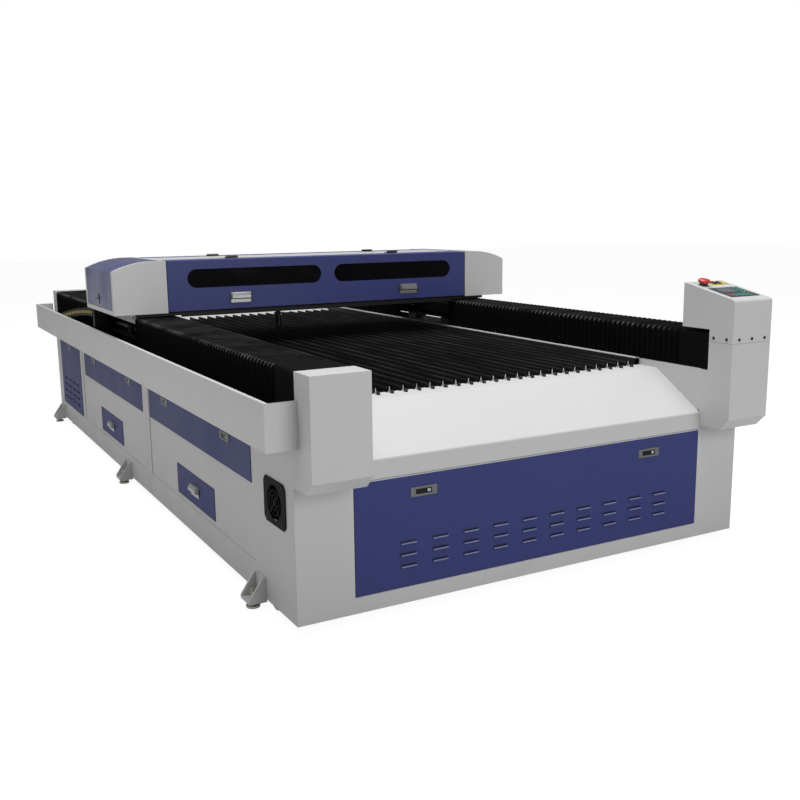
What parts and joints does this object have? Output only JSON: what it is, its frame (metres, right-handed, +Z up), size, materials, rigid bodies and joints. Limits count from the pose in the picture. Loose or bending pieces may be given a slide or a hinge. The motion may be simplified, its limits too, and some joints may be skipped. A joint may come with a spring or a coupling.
{
  "type": "laser engraving machine",
  "caption": "Flatbed laser engraving machine: slatted bed, travelling bridge with hinged covers, bellows over the rails, and a control box on the front corner.",
  "frame": {"origin": "under the middle of the overall box, on the floor", "axes": "+X to the machine's right seen from its front, +Y from its front to its rear, +Z up"},
  "size_m": [2.116, 4.158, 1.118],
  "materials": {
    "body_coat": "satin powder coat",
    "panel_coat": "satin powder coat",
    "white_coat": "satin powder coat",
    "blue_coat": "satin powder coat",
    "dark_steel": "matt black coat",
    "bellows_cloth": "coated cloth",
    "ground_steel": "ground",
    "bare_aluminium": "satin",
    "black_plastic": "matt",
    "smoked_acrylic": "smoked",
    "clear_glass": "clear",
    "red_plastic": "gloss",
    "zinc_steel": "zinc plated",
    "olive_nylon": "matt",
    "cast_handle": "satin chrome"
  },
  "bodies": {
    "base": {"base_frame": "body_coat", "side_cladding_left": "panel_coat", "side_cladding_right": "panel_coat", "front_fascia": "body_coat", "rear_panel": "panel_coat", "rear_deck": "white_coat", "front_apron": "white_coat", "bed_slats": "dark_steel", "slat_supports": "dark_steel", "scrap_hopper": "ground_steel", "rail_beams": "dark_steel", "linear_rails": "ground_steel", "y_motors": "black_plastic", "front_bellows": "bellows_cloth", "rear_bellows": "bellows_cloth", "rear_rail_covers": "white_coat", "pod_left": "white_coat", "pod_right": "white_coat", "control_box_cover": "white_coat", "keypad_panel": "black_plastic", "estop_base": "black_plastic", "cable_tray": "white_coat", "drag_chain": "black_plastic", "fan_grille": "black_plastic", "electrics_tray": "bare_aluminium", "foot_brackets": "body_coat", "levelling_feet": "zinc_steel", "caster_forks": "zinc_steel"},
    "gantry": {"gantry_beam": "dark_steel", "carriage_plates": "body_coat", "rail_carriages": "ground_steel", "end_cap_left": "white_coat", "end_cap_right": "white_coat", "top_strip": "white_coat", "laser_tube": "clear_glass", "x_rail": "ground_steel"},
    "front_door": {"gantry_front_door": "blue_coat", "door_windows": "smoked_acrylic", "door_handles": "cast_handle"},
    "rear_door": {"gantry_rear_door": "blue_coat"},
    "lid_left": {"end_lid_left": "blue_coat"},
    "lid_right": {"end_lid_right": "blue_coat"},
    "head": {"head_carriage": "bare_aluminium"},
    "lens": {"lens_tube": "black_plastic", "air_hose": "black_plastic"},
    "screw_left": {"ball_screw_left": "ground_steel"},
    "screw_right": {"ball_screw_right": "ground_steel"},
    "screw_x": {"x_screw": "ground_steel"},
    "access_panel": {"front_access_panel": "blue_coat"},
    "panel_front": {"side_panel_front": "blue_coat"},
    "panel_rear": {"side_panel_rear": "blue_coat"},
    "tall_door": {"tall_side_door": "blue_coat"},
    "drawer_front": {"scrap_drawer_front": "blue_coat"},
    "drawer_rear": {"scrap_drawer_rear": "blue_coat"},
    "stop_button": {"estop_button": "red_plastic"},
    "rotor": {"fan_rotor": "black_plastic"},
    "wheel_front_left": {"caster_wheel_front_left": "olive_nylon"},
    "wheel_front_right": {"caster_wheel_front_right": "olive_nylon"},
    "wheel_rear_left": {"caster_wheel_rear_left": "olive_nylon"},
    "wheel_rear_right": {"caster_wheel_rear_right": "olive_nylon"}
  },
  "joints": [
    {"name": "gantry_travel", "type": "slide", "parent": "base", "child": "gantry", "axis": [0, 1, 0], "range_m": [-1.6, 1.1], "deforming": ["front_bellows", "rear_bellows", "drag_chain"]},
    {"name": "screw_left_spin", "type": "hinge", "parent": "base", "child": "screw_left", "pos_m": [-0.9, -1.875, 0.776], "axis": [0, 1, 0], "range_deg": [-23060, 15860]},
    {"name": "screw_right_spin", "type": "hinge", "parent": "base", "child": "screw_right", "pos_m": [0.9, -1.875, 0.776], "axis": [0, 1, 0], "range_deg": [-23060, 15860]},
    {"name": "head_travel", "type": "slide", "parent": "gantry", "child": "head", "axis": [1, 0, 0], "range_m": [-0.53, 0.85]},
    {"name": "screw_x_spin", "type": "hinge", "parent": "gantry", "child": "screw_x", "pos_m": [0, 0.055, 0.96], "axis": [1, 0, 0], "range_deg": [-7652, 12260]},
    {"name": "focus", "type": "slide", "parent": "head", "child": "lens", "axis": [0, 0, 1], "range_m": [-0.01, 0.025]},
    {"name": "front_door_hinge", "type": "hinge", "parent": "gantry", "child": "front_door", "pos_m": [0, -0.023, 1.112], "axis": [-1, 0, 0], "range_deg": [0, 100]},
    {"name": "rear_door_hinge", "type": "hinge", "parent": "gantry", "child": "rear_door", "pos_m": [0, 0.269, 1.112], "axis": [1, 0, 0], "range_deg": [0, 100]},
    {"name": "lid_left_hinge", "type": "hinge", "parent": "gantry", "child": "lid_left", "pos_m": [-0.832, 0.123, 1.107], "axis": [0, 1, 0], "range_deg": [0, 80]},
    {"name": "lid_right_hinge", "type": "hinge", "parent": "gantry", "child": "lid_right", "pos_m": [0.832, 0.123, 1.107], "axis": [0, -1, 0], "range_deg": [0, 80]},
    {"name": "access_panel_hinge", "type": "hinge", "parent": "base", "child": "access_panel", "pos_m": [0, -1.936, 0.089], "axis": [1, 0, 0], "range_deg": [0, 90]},
    {"name": "panel_front_hinge", "type": "hinge", "parent": "base", "child": "panel_front", "pos_m": [-0.949, -0.91, 0.412], "axis": [0, -1, 0], "range_deg": [0, 90]},
    {"name": "panel_rear_hinge", "type": "hinge", "parent": "base", "child": "panel_rear", "pos_m": [-0.949, 0.518, 0.412], "axis": [0, -1, 0], "range_deg": [0, 90]},
    {"name": "tall_door_hinge", "type": "hinge", "parent": "base", "child": "tall_door", "pos_m": [-0.951, 1.6, 0.139], "axis": [0, -1, 0], "range_deg": [0, 90]},
    {"name": "drawer_front_slide", "type": "slide", "parent": "base", "child": "drawer_front", "axis": [-1, 0, 0], "range_m": [0, 0.6]},
    {"name": "drawer_rear_slide", "type": "slide", "parent": "base", "child": "drawer_rear", "axis": [-1, 0, 0], "range_m": [0, 0.6]},
    {"name": "stop_press", "type": "slide", "parent": "base", "child": "stop_button", "axis": [0, 0.2095, -0.9778], "range_m": [0, 0.005], "stiffness_N_per_m": 400},
    {"name": "rotor_spin", "type": "hinge", "parent": "base", "child": "rotor", "pos_m": [-0.936, -1.78, 0.398], "axis": [1, 0, 0], "continuous": true},
    {"name": "wheel_front_left_roll", "type": "hinge", "parent": "base", "child": "wheel_front_left", "pos_m": [-0.909, -1.7, 0.0645], "axis": [1, 0, 0], "continuous": true},
    {"name": "wheel_front_right_roll", "type": "hinge", "parent": "base", "child": "wheel_front_right", "pos_m": [0.909, -1.7, 0.0645], "axis": [1, 0, 0], "continuous": true},
    {"name": "wheel_rear_left_roll", "type": "hinge", "parent": "base", "child": "wheel_rear_left", "pos_m": [-0.909, 1.802, 0.0645], "axis": [1, 0, 0], "continuous": true},
    {"name": "wheel_rear_right_roll", "type": "hinge", "parent": "base", "child": "wheel_rear_right", "pos_m": [0.909, 1.802, 0.0645], "axis": [1, 0, 0], "continuous": true}
  ],
  "couplings": [
    {"joint": "screw_left_spin", "follows": "gantry_travel", "rad_per_m": 251.33},
    {"joint": "screw_right_spin", "follows": "gantry_travel", "rad_per_m": 251.33},
    {"joint": "screw_x_spin", "follows": "head_travel", "rad_per_m": 251.33}
  ]
}
